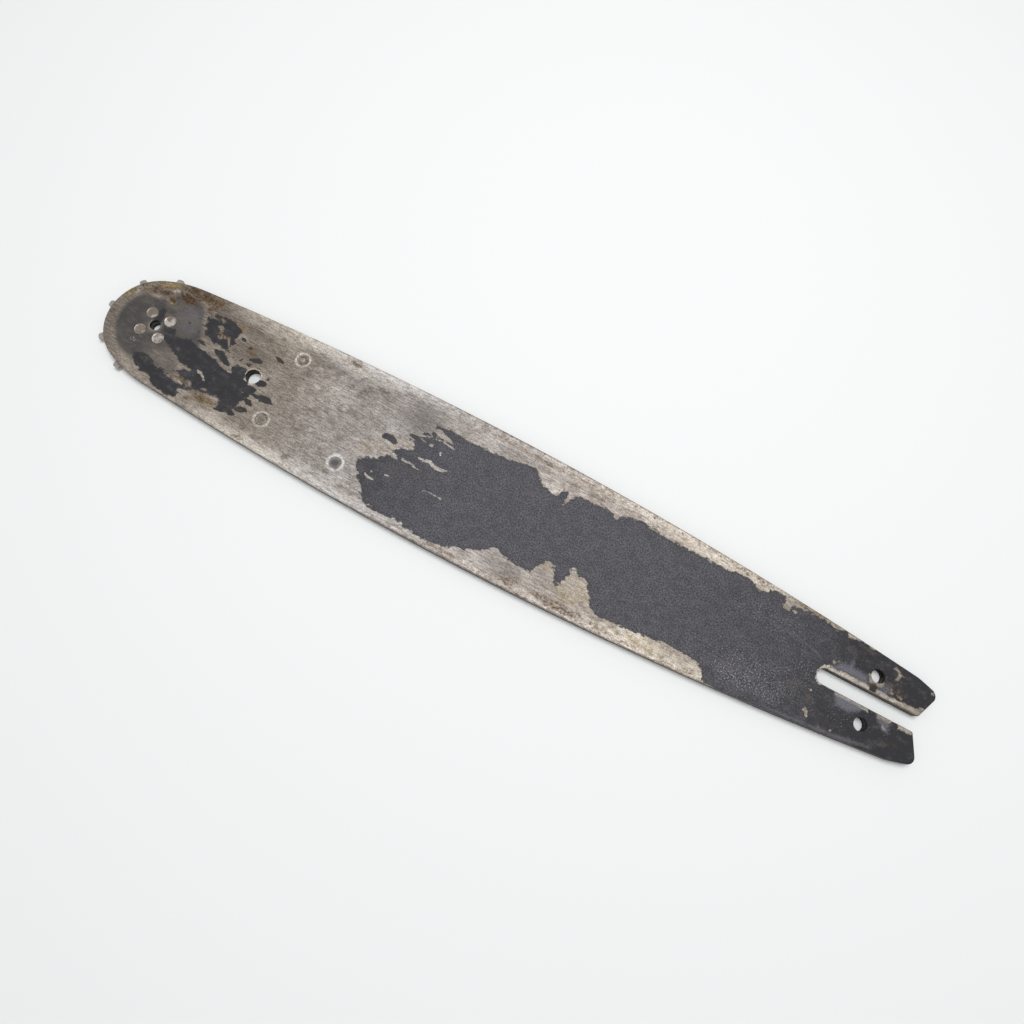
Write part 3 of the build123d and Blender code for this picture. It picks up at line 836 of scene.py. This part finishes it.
# The lower plate's wear, out of sight at rest: the same use, with longer scrapes from the table
# Its grid is coarser, because the marks on it are plainer.
LOWER_GRID = 1.2
under_field = [
    (96, 12), (108, 16.5), (124, 18), (140, 20), (165, 20.5), (186, 18), (204, 21), (232, 20),
    (262, 21.5), (300, 20), (330, 19.5), (345, 26), (370, 26), (370, -30), (300, -30), (290, -20),
    (262, -20.5), (240, -17), (214, -19.5), (190, -21.5), (160, -22.5), (132, -20), (118, -22),
    (104, -16), (112, -9), (98, -4), (106, 3),
]
under_nose = [
    (8, -6), (16, -10), (30, -9.5), (46, -13), (58, -9), (54, -3), (40, 1.5), (47, 5.5), (30, 9),
    (18, 5.5),
]
under_wear = dict(
    upper_wear,
    paint=[under_field, under_nose],
    bare=upper_wear["bare"][:1],
    flecks=[
        ([(66, 8), (71, 7.4)], 0.9, 1.0), ([(82, -9), (88, -9.6)], 0.8, 1.0),
        ([(76, 2), (78.5, 1.7)], 0.6, 0.8), ([(20, 15), (27, 14.2)], 0.8, 0.9),
    ],
    scratches=[
        ([(140, 6), (172, 9.5), (210, 11)], 0.35), ([(150, -4), (196, -7.5)], 0.3),
        ([(226, 3), (262, 6.5)], 0.3), ([(246, -9), (280, -11)], 0.4),
        ([(316.6, 3.8), (330, 4.3), (352, 4.2)], 0.8), ([(322, -4), (346, -4.2)], 0.8),
        ([(316.8, 3.8), (315, 2.2), (314.6, 0), (315, -2.2), (317.2, -3.8)], 0.4),
        ([(333.8, 9), (335.4, 7.2), (337.4, 6.8)], 0.5), ([(184, 14), (188, 12.4)], 0.7),
        ([(206, -13), (212, -14.5)], 0.6),
    ],
    faint_lines=[([(270, 12), (309, 7)], 0.35, 0.8), ([(160, 15), (232, 13)], 0.3, 0.6)],
    scuffs=[
        ([(322, 5), (326, 9), (333, 8.4), (336, 5.4)], 0.9, 1.2),
        ([(326, -4.6), (339, -4.8), (335, -8)], 0.9, 1.2),
    ],
)
lower_plate = copy_node("lower_side_plate", "lower_plate")
divide_face(lower_plate, *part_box("lower_side_plate"), LOWER_GRID, -1)
lay_wear(lower_plate, under_wear)
dress(lower_plate, plate_finish)
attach(lower_plate, "bar")
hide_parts("lower_side_plate")

# Nose rivets
# Four steel pins through both side plates and the race, upset flush into countersinks.
# The punch left their ends a little dished, and wood rubs them paler than the plate round them.
rivets = copy_node("nose_rivets", "rivet_ends")
bpy.ops.object.mode_set(mode="EDIT")
mesh = bmesh.from_edit_mesh(rivets.data)
for face in mesh.faces:
    face.select = abs(face.normal.z) > LEVEL
bmesh.update_edit_mesh(rivets.data)
# Each step of the dish goes in from the rim and down, or up again at the middle, in mm
DISH_STEPS = ((0.2, -0.1), (0.55, -0.08), (0.5, 0.06))
for step_in, step_down in DISH_STEPS:
    bpy.ops.mesh.inset(thickness=step_in * MM, depth=step_down * MM)
bpy.ops.object.mode_set(mode="OBJECT")
bpy.ops.object.shade_smooth_by_angle(angle=SMOOTH_ANGLE)
ends = corner_places(rivets)[:, :2]
oily_patches = [
    (-5.4, 5.3, 1.7, 2.1, 0.85), (-3.2, 5.9, 0.9, 0.8, 0.5), (3.2, 6.2, 1.3, 1.1, 0.5),
    (-4.7, -4.7, 3, 3, 0.12),
]
rubbed_patches = [(4.9, 4.0, 2.2, 2.2, 0.15), (-3.8, 3.7, 1.3, 1.3, 0.15)]
store(rivets, "extra_oil", soft_patches(ends, oily_patches) - soft_patches(ends, rubbed_patches))
dress(rivets, oiled_steel("rubbed_rivet_steel", "#c6beb8", "#867a6f", 1.4, 0.45))
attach(rivets, "bar")
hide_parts("nose_rivets")

# Table, lamp and camera
# A plain pale table top under soft light from a large lamp overhead and a white room.
# The camera stands over the near side of the bar and looks down at it, a little turned.
# The table's and the lamp's sizes are in metres.
TABLE_SIZE = 8.0
bpy.ops.object.select_all(action="DESELECT")
bpy.ops.mesh.primitive_plane_add(size=TABLE_SIZE, location=(0, 0, 0))
table = bpy.context.object
table.name = "table_top"
# Matt laminate: an even ground, just off white, that takes a soft shadow and shows no reflection
table_finish = new_material("matt_white_laminate")
shader = add_node(
    table_finish,
    "BsdfPrincipled",
    {"Base Color": linear("#f4f5f5"), "Roughness": 0.7, "Specular IOR Level": 0.2},
)
add_node(table_finish, "OutputMaterial", {"Surface": shader})
dress(table, table_finish)

ROOM_STRENGTH = 0.5
world = bpy.data.worlds.new("white_room")
bpy.context.scene.world = world
world.use_nodes = True
world.node_tree.nodes.clear()
background = add_node(world, "Background", {"Color": linear("#f6f7f8"), "Strength": ROOM_STRENGTH})
add_node(world, "OutputWorld", {"Surface": background})

LAMP_PLACE = (0.0, 0.2, 1.0)
LAMP_SIZE = 0.6
LAMP_WATTS = 6.5
bpy.ops.object.light_add(type="AREA", location=LAMP_PLACE)
lamp = bpy.context.object
lamp.name = "large_lamp"
lamp.data.shape = "DISK"
lamp.data.size = LAMP_SIZE
lamp.data.energy = LAMP_WATTS
lamp.rotation_euler = (-lamp.location).to_track_quat("-Z", "Y").to_euler()

# The camera's place is in mm from the middle of the bar's underside, and its turns are in degrees
CAMERA_PLACE = (34.48, -69.9, 277.95)
CAMERA_HEADING = 19.77
CAMERA_TILT = 15.21
CAMERA_ROLL = 8.57
LENS = 24.0
SENSOR_WIDTH = 36.0
NEAREST_SEEN = 10.0
camera = bpy.data.objects.new("camera", bpy.data.cameras.new("camera"))
bpy.context.scene.collection.objects.link(camera)
turn = Matrix.Rotation(math.radians(CAMERA_HEADING), 4, "Z")
turn @= Matrix.Rotation(math.radians(CAMERA_TILT), 4, "X")
turn @= Matrix.Rotation(math.radians(CAMERA_ROLL), 4, "Z")
camera.matrix_world = Matrix.Translation(Vector(CAMERA_PLACE) * MM) @ turn
camera.data.lens = LENS
camera.data.sensor_width = SENSOR_WIDTH
camera.data.clip_start = NEAREST_SEEN * MM
bpy.context.scene.camera = camera
bpy.context.scene.view_settings.view_transform = "Standard"
